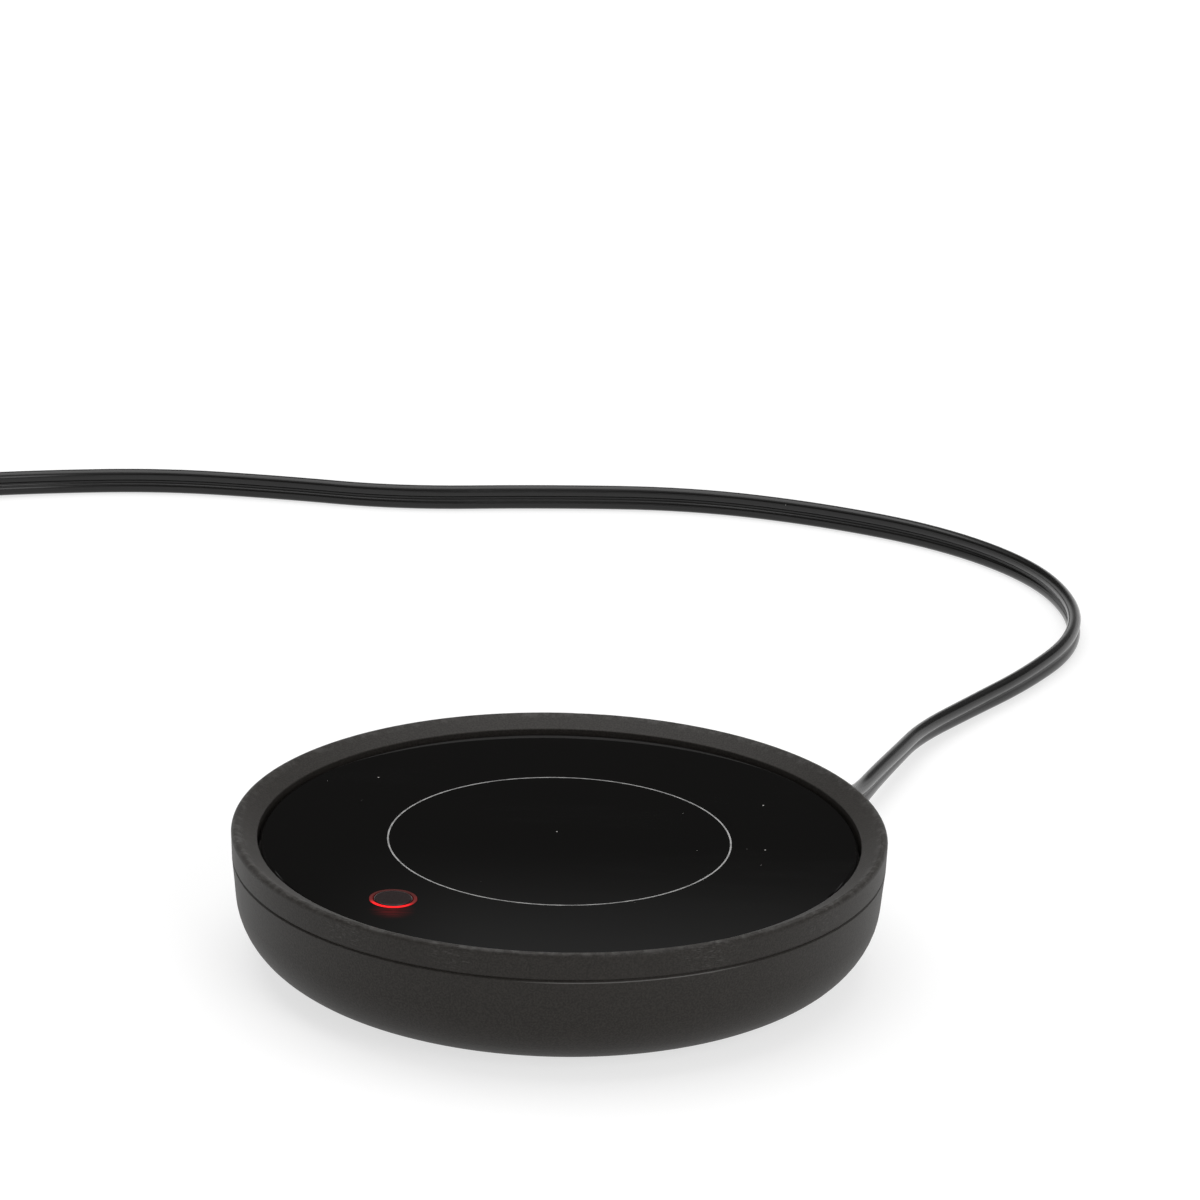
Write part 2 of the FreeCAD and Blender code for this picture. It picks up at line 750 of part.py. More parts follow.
def thermostat_bracket():
    """Bent strap spot-welded to the tray that carries the thermostat by the edge of its cap."""
    cap_bottom = tray_bottom - thermostat_cap_height
    across = thermostat_azimuth + 90
    strap = block(2 * bracket_reach, bracket_width, cap_bottom - bracket_sheet, cap_bottom, V(0, 0, 0), across)
    parts = []
    for turn in (0, 180):
        parts.append(spoke(bracket_reach - bracket_sheet, bracket_reach, bracket_width,
                           cap_bottom - bracket_sheet, tray_bottom, across + turn))
        parts.append(spoke(bracket_reach - bracket_sheet, bracket_reach + bracket_foot, bracket_width,
                           tray_bottom - bracket_sheet, tray_bottom, across + turn))
    strap = fused(strap, parts)
    return strap.cut(disc(thermostat_body_radius + bracket_clearance, cap_bottom - bracket_sheet, cap_bottom))


def fuse_end(side):
    centre = V(fuse_centre[0], fuse_centre[1], tray_bottom - fuse_radius)
    return centre + place(side * fuse_length / 2, fuse_azimuth)


def thermal_fuse():
    start = fuse_end(-1)
    body = Part.makeCylinder(fuse_radius, fuse_length, start, place(1, fuse_azimuth))
    rims = [edge for edge in body.Edges if edge.Curve.TypeId == "Part::GeomCircle"]
    return body.makeFillet(fuse_radius * 0.3, rims)


def control_board():
    slab = ring(board_inner_radius, board_outer_radius, board_bottom, board_top)
    wedge_reach = board_outer_radius * 1.5
    half_angle = math.degrees(board_half_length / board_outer_radius)
    first = place(wedge_reach, button_azimuth - half_angle, board_bottom)
    second = place(wedge_reach, button_azimuth + half_angle, board_bottom)
    corner = V(0, 0, board_bottom)
    wedge = Part.Face(Part.makePolygon([corner, first, second, corner])).extrude(V(0, 0, board_thickness))
    slab = slab.common(wedge)
    holes = [disc(small_screw_radius + screw_hole_slack, board_bottom, board_top, board_place(spot))
             for spot in board_screw_places]
    return slab.cut(holes)


def board_screws():
    return group([screw(small_screw_radius, small_screw_head_radius, small_screw_head_height,
                        board_thickness + small_screw_grip - small_screw_spare,
                        board_place(spot, board_top), point_up=False)
                  for spot in board_screw_places])


def on_board(size, spot):
    """A block on the board, its length along the board's arc."""
    length, width, height = size
    return block(length, width, board_top, board_top + height, board_place(spot), board_azimuth(spot) + 90)


def softened(shape, radius):
    top = shape.BoundBox.ZMax
    edges = [edge for edge in shape.Edges if edge.BoundBox.ZMax > top - 1e-6]
    return shape.makeFillet(radius, edges)


def power_relay():
    length, width = relay_size
    return softened(on_board((length, width, relay_height), relay_place), relay_round)


def film_capacitor():
    return softened(on_board(capacitor_size, capacitor_place), capacitor_round)


def control_chip():
    body = on_board(chip_size, chip_place)
    length, width, height = chip_size
    legs = on_board((length * chip_leg_share, width + 2 * chip_legs, chip_leg_height), chip_place)
    return body.fuse(legs).removeSplitter()


def board_resistors():
    pieces = []
    for spot in resistor_places:
        azimuth = board_azimuth(spot)
        centre = board_place(spot, board_top + resistor_radius)
        start = centre - place(resistor_length / 2, azimuth)
        pieces.append(Part.makeCylinder(resistor_radius, resistor_length, start, place(1, azimuth)))
    return group(pieces)


def terminal_azimuth(i):
    return button_azimuth + math.degrees(terminal_offsets[i] / terminal_circle)


def board_terminals():
    length, width, height = terminal_size
    return group([block(length, width, board_top, board_top + height,
                        place(terminal_circle, terminal_azimuth(i)), terminal_azimuth(i))
                  for i in range(len(terminal_offsets))])


def status_leds():
    spot = guide_skirt_radius - guide_skirt_wall / 2
    return group([block(led_size[1], led_size[0], board_top, board_top + led_size[2],
                        button_centre() + place(spot, button_azimuth + turn), button_azimuth + turn)
                  for turn in led_azimuths])


def base_screws():
    return group([screw(screw_radius, screw_head_radius, screw_head_height, screw_length,
                        place(post_circle, azimuth, screw_seat)) for azimuth in post_azimuths])


def rubber_feet():
    feet = []
    for azimuth in post_azimuths:
        foot = disc(foot_radius, TABLE, base_gap + foot_seat, place(post_circle, azimuth))
        rim = [edge for edge in foot.Edges if edge.BoundBox.ZMax < TABLE + 1e-6]
        feet.append(foot.makeChamfer(foot_bevel, rim))
    return group(feet)


def relief_tip_radius():
    """Distance of the tail's tip from the housing's axis."""
    outer_at_exit = corner_centre_radius + math.sqrt(
        corner_radius ** 2 - (corner_centre_height - exit_height) ** 2)
    return outer_at_exit + relief_tail_length


def strain_relief():
    tip = relief_tip_radius()
    tail_start = tip - relief_tail_length
    flange_end = relief_flange_radius + relief_flange_thickness
    flange = exit_slab(relief_flange_width, relief_flange_height, relief_flange_radius, flange_end,
                       relief_flange_round)
    neck = exit_slab(relief_width, relief_height, flange_end, tail_start, relief_height * relief_round_share)
    wires = []
    for share in (0.0, relief_waist_share, 1.0):
        width = relief_width + (relief_tip - relief_width) * share
        height = relief_height + (relief_tip - relief_height) * share
        section = rounded_slab(width, height, root, height * relief_round_share).Faces
        face = min(section, key=lambda item: item.CenterOfMass.x)
        wire = face.OuterWire
        wire.translate(V(tail_start + share * relief_tail_length, 0, 0))
        wires.append(wire)
    tail = relief_along_exit(Part.makeLoft(wires, True, True))
    relief = fused(flange, [neck, tail])
    slots = []
    spacing = relief_tail_length * relief_slotted_share / relief_slots
    for i in range(relief_slots):
        start = tail_start + relief_tail_length * relief_first_slot_share + i * spacing
        shrink = (start - tail_start) / relief_tail_length
        half_height = (relief_height + (relief_tip - relief_height) * shrink) / 2
        half_width = (relief_width + (relief_tip - relief_width) * shrink) / 2
        for side in (-1, 1):
            if i % 2 == 0:
                cut = Part.makeBox(relief_slot_width, relief_width, relief_height,
                                   V(start, -relief_width / 2, half_height - relief_slot_depth * relief_slot_sink))
                if side < 0:
                    cut.rotate(V(0, 0, 0), V(1, 0, 0), 180)
            else:
                cut = Part.makeBox(relief_slot_width, relief_width, relief_height,
                                   V(start, half_width - relief_slot_depth, -relief_height / 2))
                if side < 0:
                    cut.rotate(V(0, 0, 0), V(1, 0, 0), 180)
            slots.append(relief_along_exit(cut))
    return relief.cut(slots)


def cord_route():
    tip = place(relief_tip_radius(), exit_azimuth, exit_height)
    out = place(relief_tip_radius() + exit_run, exit_azimuth, exit_height)
    return [tip, out] + [V(*point) for point in route_after_exit]


def cord_tube():
    path = soft_path(cord_route(), "cord_tube")
    return swept(path, cord_width / 2, "cord_tube")


def coil_entry():
    """Where the lead's free stretch meets the straight end of the coil."""
    return V(*route_after_exit[-1])


def coil_spread(angle):
    """Radius and height of the coil after turning through an angle."""
    whole = coil_turns * 2 * math.pi
    rate = coil_step / (2 * math.pi)
    middle = whole / 2
    radius = coil_outer_radius - rate * (angle if angle < middle else whole - angle)
    climb = (angle - (middle - math.pi / 2)) / math.pi
    climb = max(0.0, min(1.0, climb))
    eased = climb * climb * (3 - 2 * climb)
    height = coil_low + coil_step * eased
    return radius, height


def coil_frame():
    """Centre of the coil and the azimuth of its start, so that it takes up the lead's heading."""
    entry = coil_entry()
    x, y, _ = route_after_exit[-2]
    heading = math.atan2(entry.y - y, entry.x - x)
    lean = math.atan2(coil_step / (2 * math.pi), coil_outer_radius)
    start_azimuth = heading - math.pi / 2 - lean
    touch = entry + V(math.cos(heading), math.sin(heading), 0) * cord_width
    centre = touch - V(math.cos(start_azimuth), math.sin(start_azimuth), 0) * coil_outer_radius
    return V(centre.x, centre.y, 0), start_azimuth


def coil_point(angle):
    centre, start_azimuth = coil_frame()
    radius, height = coil_spread(angle)
    azimuth = start_azimuth + angle
    return centre + V(radius * math.cos(azimuth), radius * math.sin(azimuth), height)


def coil_heading(angle):
    small = 1e-4
    whole = coil_turns * 2 * math.pi
    before = coil_point(max(0.0, angle - small))
    after = coil_point(min(whole, angle + small))
    return (after - before).normalize()


def coil_path():
    """The coil's centre line: a straight end, quarter turns of two arcs each, a straight end."""
    quarter = math.pi / 2
    whole = coil_turns * 2 * math.pi
    steps = max(1, round(whole / quarter))
    angles = [whole * i / steps for i in range(steps + 1)]
    first_heading = coil_heading(0)
    last_heading = coil_heading(whole)
    start = coil_point(0)
    edges = [Part.LineSegment(start - first_heading * cord_width, start).toShape()]
    for before, after in zip(angles, angles[1:]):
        edges += biarc(coil_point(before), coil_heading(before), coil_point(after), coil_heading(after))
    end = coil_point(whole)
    edges.append(Part.LineSegment(end, end + last_heading * cord_width).toShape())
    return Part.Wire(edges)


def report_coil_gap(path):
    """Least gap between turns, measured on points of the centre line."""
    points = path.discretize(Distance=3.0)
    least = 1e9
    skip = int(math.pi * coil_outer_radius / 3.0 / 2)
    for i, point in enumerate(points):
        for other in points[i + skip:]:
            least = min(least, (point - other).Length)
    print("cord_coil least gap to itself %.2f mm" % (least - cord_width))


def cord_coil():
    path = coil_path()
    report_coil_gap(path)
    return swept(path, cord_width / 2, "cord_coil")


def coil_end():
    """Middle of the coil's last face and the lead's heading there."""
    whole = coil_turns * 2 * math.pi
    heading = coil_heading(whole)
    return coil_point(whole) + heading * cord_width, heading


def coil_tie():
    """Flat wire tie round the bundle, with its two ends twisted together outside."""
    centre, start_azimuth = coil_frame()
    azimuth = math.radians(tie_azimuth)
    whole = coil_turns * 2 * math.pi
    first = (azimuth - start_azimuth) % (2 * math.pi)
    radii = []
    passes = int((whole - first) / (2 * math.pi)) + 1
    for i in range(passes):
        radii.append(coil_spread(first + i * 2 * math.pi)[0])
    edge = cord_width / 2 + tie_gap
    inner = min(radii) - edge
    outer = max(radii) + edge
    low = coil_low - edge
    high = coil_high + edge
    round_outer = cord_width / 2
    outside = [(inner - tie_sheet, low - tie_sheet, round_outer),
               (outer + tie_sheet, low - tie_sheet, round_outer),
               (outer + tie_sheet, high + tie_sheet, round_outer),
               (inner - tie_sheet, high + tie_sheet, round_outer)]
    inside = [(inner, low, round_outer - tie_sheet), (outer, low, round_outer - tie_sheet),
              (outer, high, round_outer - tie_sheet), (inner, high, round_outer - tie_sheet)]
    band = Part.Face(outline(outside)).cut(Part.Face(outline(inside))).extrude(V(0, tie_width, 0))
    band.translate(V(0, -tie_width / 2, 0))
    tail = Part.makeBox(tie_tail, tie_width * 0.5, tie_sheet * 2,
                        V(outer + tie_sheet * 0.5, -tie_width * 0.25, (low + high) / 2 - tie_sheet))
    tie = fused(band, [tail])
    tie.rotate(V(0, 0, 0), V(0, 0, 1), tie_azimuth)
    tie.translate(centre)
    return tie


def along_plug(shape):
    """Move a shape drawn along +X at the origin onto the coil's last face."""
    end, heading = coil_end()
    shape.rotate(V(0, 0, 0), V(0, 0, 1), math.degrees(math.atan2(heading.y, heading.x)))
    shape.translate(end)
    return shape


def plug_blades():
    blades = []
    start = plug_boot_length + plug_length
    for side in (-1, 1):
        blade = Part.makeBox(blade_root + blade_length, blade_thickness, blade_width,
                             V(start - blade_root, side * blade_spacing / 2 - blade_thickness / 2, -blade_width / 2))
        tip = start + blade_length
        ends = [edge for edge in blade.Edges
                if edge.CenterOfMass.x > tip - 1e-6 and abs(edge.tangentAt(edge.FirstParameter).y) > 0.9]
        blade = blade.makeChamfer(blade_thickness * 0.6, ends)
        hole = Part.makeCylinder(blade_hole_radius, plug_width, V(tip - blade_hole_from_tip, -plug_width / 2, 0),
                                 V(0, 1, 0))
        blades.append(along_plug(blade.cut(hole)))
    return group(blades)


def plug_body():
    """Moulded two-pin plug as thick as the coil's top turn is high, so that it stands on the table."""
    half = coil_high - TABLE
    body = Part.makeBox(plug_length, plug_width, 2 * half, V(plug_boot_length, -plug_width / 2, -half))
    body = body.makeFillet(plug_round, [edge for edge in body.Edges
                                        if edge.CenterOfMass.x < plug_boot_length + plug_length - 1e-6])
    boot = Part.makeCone(plug_boot_tip_radius, plug_boot_radius, plug_boot_length + plug_round,
                         V(0, 0, 0), V(1, 0, 0))
    body = fused(body, [boot])
    grooves = []
    spacing = plug_length * plug_grip_span_share / plug_grip_grooves
    for i in range(plug_grip_grooves):
        x = plug_boot_length + plug_length * plug_grip_start_share + i * spacing
        for side in (-1, 1):
            grooves.append(Part.makeBox(plug_grip_width, root + plug_grip_depth, half,
                                        V(x, side * plug_width / 2 - (plug_grip_depth if side > 0 else root),
                                          -half / 2)))
    body = body.cut(grooves)
    return along_plug(body).cut(plug_blades())


def relief_inner_end(side):
    """Where one core of the lead comes out of the strain relief inside the housing."""
    middle = place(relief_flange_radius, exit_azimuth, exit_height)
    return middle + place(side * lead_spread, exit_azimuth + 90)


def terminal_face(i):
    """Middle of a board terminal's inner face, where a core is clamped."""
    spot = place(terminal_circle - terminal_size[0] / 2, terminal_azimuth(i))
    return V(spot.x, spot.y, board_top + terminal_size[2] / 2)


def into_terminal(i, distance):
    """A point in front of a terminal, on its axis."""
    spot = place(terminal_circle - terminal_size[0] / 2 - distance, terminal_azimuth(i))
    return V(spot.x, spot.y, board_top + terminal_size[2] / 2)


def supply_leads():
    """The two cores of the mains lead, from the strain relief across the floor to the board."""
    crossings = {0: ((-3.0, 16.0), (-20.0, 2.0)), 3: ((17.0, 2.0), (2.0, -18.0))}
    leads = []
    for side, i in ((1, 0), (-1, 3)):
        start = relief_inner_end(side)
        inward = start - place(core_straight, exit_azimuth)
        down = start - place(core_drop, exit_azimuth)
        points = [start, inward, V(down.x, down.y, wire_floor + core_settle)]
        points += [V(x, y, wire_floor) for x, y in crossings[i]]
        near = into_terminal(i, core_rise)
        points += [V(near.x, near.y, wire_floor + core_lift), into_terminal(i, core_clip), terminal_face(i)]
        leads.append(swept(soft_path(points), wire_radius))
    return group(leads)


def thermostat_tab_end(turn):
    bottom = tray_bottom - thermostat_cap_height - thermostat_body_height
    length, width, sheet = thermostat_tab
    return place(thermostat_body_radius + length, thermostat_azimuth + turn, bottom + root + sheet / 2)


def heater_leads():
    """Board to thermostat, thermostat to one pin, board to fuse, and fuse to the other pin."""
    outer_pin, inner_pin = [V(pin.x, pin.y, tray_bottom - pin_drop) for pin in pin_places()]
    tail = V(0, 0, pin_tail)
    tab_left = thermostat_tab_end(0)
    tab_right = thermostat_tab_end(180)
    outward = place(tab_straight, thermostat_azimuth)
    to_board, to_pin = [place(straight, fuse_azimuth) for straight in fuse_straight]
    routes = [
        [tab_left, tab_left + outward, V(-23.0, 3.0, tray_bottom - tab_lead_drop),
         into_terminal(1, core_near_board[0]), terminal_face(1)],
        [tab_right, tab_right - outward, V(24.0, -7.0, tray_bottom - pin_lead_drop),
         outer_pin - tail, outer_pin],
        [fuse_end(-1), fuse_end(-1) - to_board, V(-8.0, -27.0, tray_bottom - fuse_lead_drop),
         into_terminal(2, core_near_board[1]), terminal_face(2)],
        [fuse_end(1), fuse_end(1) + to_pin, V(20.0, -6.0, tray_bottom - fuse_lead_drop),
         inner_pin - tail, inner_pin],
    ]
    return group([swept(soft_path(route), wire_radius) for route in routes])


NODES = [
    base_shell, rim_ring, warming_plate, zone_ring, plate_gasket, light_guide_ring, button_cap,
    switch_plunger, switch_body, status_leds, heat_spreader, mica_upper, heating_element, mica_lower,
    insulation_pad, heater_tray, tray_screws, thermostat, thermostat_bracket, thermal_fuse,
    control_board, board_screws, power_relay, film_capacitor, control_chip, board_resistors,
    board_terminals, supply_leads, heater_leads, base_screws, rubber_feet, strain_relief,
    cord_tube, cord_coil, coil_tie, plug_body, plug_blades,
]

os.makedirs("parts", exist_ok=True)
for make in NODES:
    shape = make()
    print("%-20s solids %d, volume %.1f, valid %s"
          % (make.__name__, len(shape.Solids), shape.Volume, shape.isValid()))
    shape.exportStep("parts/" + make.__name__ + ".step")
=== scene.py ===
# %% [markdown]
# # An electric mug warmer on a white table
#
# The object is a round black housing, 120 mm across and 25 mm high, with a black glass plate sunk into
# its top, a push button with a red light ring, and a flat twin mains lead. The pieces come as a packed
# frame in metres, +Z up, with the table at z = 0. This lesson gives each piece its finish, lays the lead,
# and sets up the camera and the studio.

# %% Load the frame
import json
import math

import bpy
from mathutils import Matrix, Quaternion, Vector


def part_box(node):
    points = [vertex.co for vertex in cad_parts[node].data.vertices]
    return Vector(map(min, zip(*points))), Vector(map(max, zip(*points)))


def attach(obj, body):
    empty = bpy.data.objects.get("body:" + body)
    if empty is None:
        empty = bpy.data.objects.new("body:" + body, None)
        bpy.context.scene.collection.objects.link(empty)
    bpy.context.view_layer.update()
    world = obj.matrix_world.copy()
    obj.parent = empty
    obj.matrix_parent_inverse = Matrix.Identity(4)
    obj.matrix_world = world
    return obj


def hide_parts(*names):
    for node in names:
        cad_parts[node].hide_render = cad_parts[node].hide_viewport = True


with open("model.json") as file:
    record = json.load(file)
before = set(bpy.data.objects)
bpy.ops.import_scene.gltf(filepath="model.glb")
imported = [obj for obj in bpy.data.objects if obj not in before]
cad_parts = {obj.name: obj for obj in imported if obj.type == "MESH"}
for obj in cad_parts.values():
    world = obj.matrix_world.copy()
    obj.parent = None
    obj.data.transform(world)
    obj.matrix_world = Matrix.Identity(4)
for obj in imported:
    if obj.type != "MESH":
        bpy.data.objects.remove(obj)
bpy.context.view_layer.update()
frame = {"nodes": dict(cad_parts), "record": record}
MM = 0.001
nodes = frame["nodes"]

# %% [markdown]
# ## The camera
#
# A camera that matches a photograph needs a place, a point to look at, a lens and a small roll. The place
# was worked out from the ellipses of the rim, the seam and the zone ring: the farther the camera, the
# rounder and more alike they are. The long lens keeps the perspective as flat as in the photograph.

# %% Set up the camera
CAMERA_DISTANCE = 1.060
CAMERA_ELEVATION = math.radians(22.95)
CAMERA_ROLL = math.radians(1.402)
AIM = Vector((0.00635, 0.0, 0.06934))
LENS = 171.82
SENSOR = 36.0
FARTHEST_SEEN = 100.0

camera_data = bpy.data.cameras.new("photo_camera")
camera_data.lens = LENS
camera_data.sensor_width = SENSOR
camera_data.clip_end = FARTHEST_SEEN
camera = bpy.data.objects.new("photo_camera", camera_data)
bpy.context.scene.collection.objects.link(camera)
camera.location = Vector((0.0, -CAMERA_DISTANCE * math.cos(CAMERA_ELEVATION),
                          CAMERA_DISTANCE * math.sin(CAMERA_ELEVATION)))
level = (AIM - camera.location).to_track_quat("-Z", "Y")
camera.rotation_mode = "QUATERNION"
camera.rotation_quaternion = level @ Quaternion((0.0, 0.0, 1.0), CAMERA_ROLL)
bpy.context.scene.camera = camera
print("camera at", [round(c, 4) for c in camera.location], "lens", LENS)

# %% [markdown]
# ## The lead's route
#
# A real lead is one length of something springy. It leaves the strain relief straight, sinks to the table,
# swings round behind the housing and off to the left, and what the photograph doesn't show is wound up. A
# NURBS spline with the route's points as its control points gives such a line: it has no kinks, because it
# only passes near the points. The points on the table are in millimetres, and each gives the height of the
# lead's middle, which is about half its width where it stands on its edge. The coil's turns are more points
# of the same spline, made by a loop.

# %% Lay out the route
EXIT_AZIMUTH = math.radians(48.0)
EXIT_HEIGHT = 8.0 * MM
RELIEF_TIP_RADIUS = 77.945 * MM
EXIT_RUN = 4.0 * MM
LEAD_WIDTH = 5.5 * MM
LEAD_THICKNESS = 2.8 * MM
LYING = 2.8
CLIMBING = 3.55
route_on_table = (
    (57.8, 67.6, 5.4),
    (62.2, 81.1, 4.9),
    (67.2, 95.1, 4.3),
    (72.4, 109.7, 3.6),
    (83.8, 127.7, LYING),
    (96.6, 145.4, LYING),
    (107.8, 166.5, LYING),
    (110.2, 188.6, LYING),
    (103.2, 213.4, LYING),
    (84.6, 235.2, LYING),
    (58.4, 250.0, LYING),
    (28.4, 259.4, LYING),
    (-5.0, 258.8, LYING),
    (-38.0, 255.4, LYING),
    (-66.0, 261.2, LYING),
    (-92.0, 264.6, LYING),
    (-119.0, 261.4, LYING),
    (-146.0, 253.0, CLIMBING),
    (-174.0, 245.6, CLIMBING),
)


def along_exit(radius):
    """A point on the line along which the lead leaves the housing."""
    return Vector((radius * math.cos(EXIT_AZIMUTH), radius * math.sin(EXIT_AZIMUTH), EXIT_HEIGHT))


exit_point = along_exit(RELIEF_TIP_RADIUS)
route = [exit_point, along_exit(RELIEF_TIP_RADIUS + EXIT_RUN)]
route += [Vector(point) * MM for point in route_on_table]
print("route:", len(route), "points before the coil, leaving at", [round(c, 4) for c in exit_point])

# %% [markdown]
# ## The coil
#
# The put-away length lies in two layers. The bottom one winds in at a steady rate, and the top one winds
# out again above it. Beside each of its control points, a spline of this kind takes a quarter from the two
# neighbours, so it runs a little inside a ring of points, and the points stand out by the same share.
# After its last turn the lead runs straight into the plug.

# %% Wind the coil
COIL_RADIUS = 38.0 * MM
COIL_STEP = 6.0 * MM
COIL_TURNS = 5.25
COIL_LOW = 3.55 * MM
POINTS_PER_TURN = 14
NEIGHBOURS_SHARE = 0.25
SMALL_ANGLE = 0.001

whole_turn = 2 * math.pi
whole_angle = COIL_TURNS * whole_turn
last, before_last = route[-1], route[-2]
heading = math.atan2(last.y - before_last.y, last.x - before_last.x)
lean = math.atan2(COIL_STEP / whole_turn, COIL_RADIUS)
start_azimuth = heading - math.pi / 2 - lean
touch = last + Vector((math.cos(heading), math.sin(heading), 0.0)) * LEAD_WIDTH
coil_centre = touch - Vector((math.cos(start_azimuth), math.sin(start_azimuth), 0.0)) * COIL_RADIUS


def coil_point(angle, stand_out=1.0):
    """A point of the coil after turning through an angle, its radius enlarged by stand_out."""
    middle = whole_angle / 2
    turned = angle if angle < middle else whole_angle - angle
    radius = (COIL_RADIUS - COIL_STEP * turned / whole_turn) * stand_out
    climb = min(1.0, max(0.0, (angle - middle + math.pi / 2) / math.pi))
    height = COIL_LOW + COIL_STEP * climb * climb * (3 - 2 * climb)
    azimuth = start_azimuth + angle
    return Vector((coil_centre.x + radius * math.cos(azimuth),
                   coil_centre.y + radius * math.sin(azimuth), height))


steps = round(COIL_TURNS * POINTS_PER_TURN)
stand_out = 1 / (1 - NEIGHBOURS_SHARE + NEIGHBOURS_SHARE * math.cos(whole_angle / steps))
for i in range(steps + 1):
    route.append(coil_point(whole_angle * i / steps, stand_out if 0 < i < steps else 1.0))
coil_end = coil_point(whole_angle)
last_heading = (coil_end - coil_point(whole_angle - SMALL_ANGLE)).normalized()
plug_entry = coil_end + last_heading * LEAD_WIDTH
route.append(plug_entry)
print("coil: centre", [round(c, 4) for c in coil_centre], "steps", steps, "ends at",
      [round(c, 4) for c in plug_entry])

# %% [markdown]
# ## The lead's section
#
# The lead is two insulated cores side by side, so its section is two round lobes with a groove between
# them. A curve can carry any flat outline along itself as its bevel. The outline is drawn by a formula:
# two arcs that face away from each other, and the bottom of the groove between them. It is drawn in
# millimetres, and the lead's points shrink it to metres with their radius.

# %% Draw the section
LOBE_RADIUS = LEAD_THICKNESS / MM / 2
LOBE_CENTRE = LEAD_WIDTH / MM / 2 - LOBE_RADIUS
LOBE_OPENING = math.radians(132.0)
LOBE_POINTS = 17
GROOVE_HALF = 0.42


def section_outline():
    """Points round the twin section, its width along Y."""
    points = []
    for side in (1, -1):
        for i in range(LOBE_POINTS):
            angle = -LOBE_OPENING + 2 * LOBE_OPENING * i / (LOBE_POINTS - 1)
            points.append((-side * LOBE_RADIUS * math.sin(angle),
                           side * (LOBE_CENTRE + LOBE_RADIUS * math.cos(angle))))
        points.append((-side * GROOVE_HALF, 0.0))
    return points


section_curve = bpy.data.curves.new("lead_section", "CURVE")
section_curve.dimensions = "2D"
outline = section_outline()
edge = section_curve.splines.new("POLY")
edge.points.add(len(outline) - 1)
for point, (x, y) in zip(edge.points, outline):
    point.co = (x, y, 0.0, 1.0)
edge.use_cyclic_u = True
section = bpy.data.objects.new("lead_section", section_curve)
bpy.context.scene.collection.objects.link(section)
section.hide_render = True
section.hide_viewport = True
print("section:", len(outline), "points")

# %% [markdown]
# ## The lead itself
#
# A flat lead stands on its edge on a table, because it bends easily only across its thin side. It leans
# a little where it comes down to the table and turns. The tilt of each point sets that lean, and the
# upward twist mode keeps the section from rolling anywhere else.

# %% Make the lead
LEAN_START = 2
LEAN_END = 8
LEAN_MOST = math.radians(24.0)
SPLINE_ORDER = 3
STEPS_PER_POINT = 8

lead_curve = bpy.data.curves.new("mains_lead", "CURVE")
lead_curve.dimensions = "3D"
lead_curve.twist_mode = "Z_UP"
lead_curve.bevel_mode = "OBJECT"
lead_curve.bevel_object = section
lead_curve.use_fill_caps = True
line = lead_curve.splines.new("NURBS")
line.points.add(len(route) - 1)
for i, (point, place) in enumerate(zip(line.points, route)):
    point.co = (place.x, place.y, place.z, 1.0)
    share = min(1.0, max(0.0, (i - LEAN_START) / (LEAN_END - LEAN_START)))
    point.tilt = LEAN_MOST * math.sin(math.pi * share)
    point.radius = MM
line.order_u = SPLINE_ORDER
line.use_endpoint_u = True
line.resolution_u = STEPS_PER_POINT
lead = bpy.data.objects.new("mains_lead", lead_curve)
bpy.context.scene.collection.objects.link(lead)
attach(lead, "housing")
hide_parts("cord_tube", "cord_coil")
print("lead:", len(line.points), "points")

# %% [markdown]
# ## Arithmetic on sockets
#
# A procedural finish is mostly arithmetic: a mask here, one minus it there, a sum of two noises. Writing
# that as Python expressions is easier to read than a list of nodes and links. This class holds one socket,
# and its operators add the Math nodes. Everything else comes from its node method.

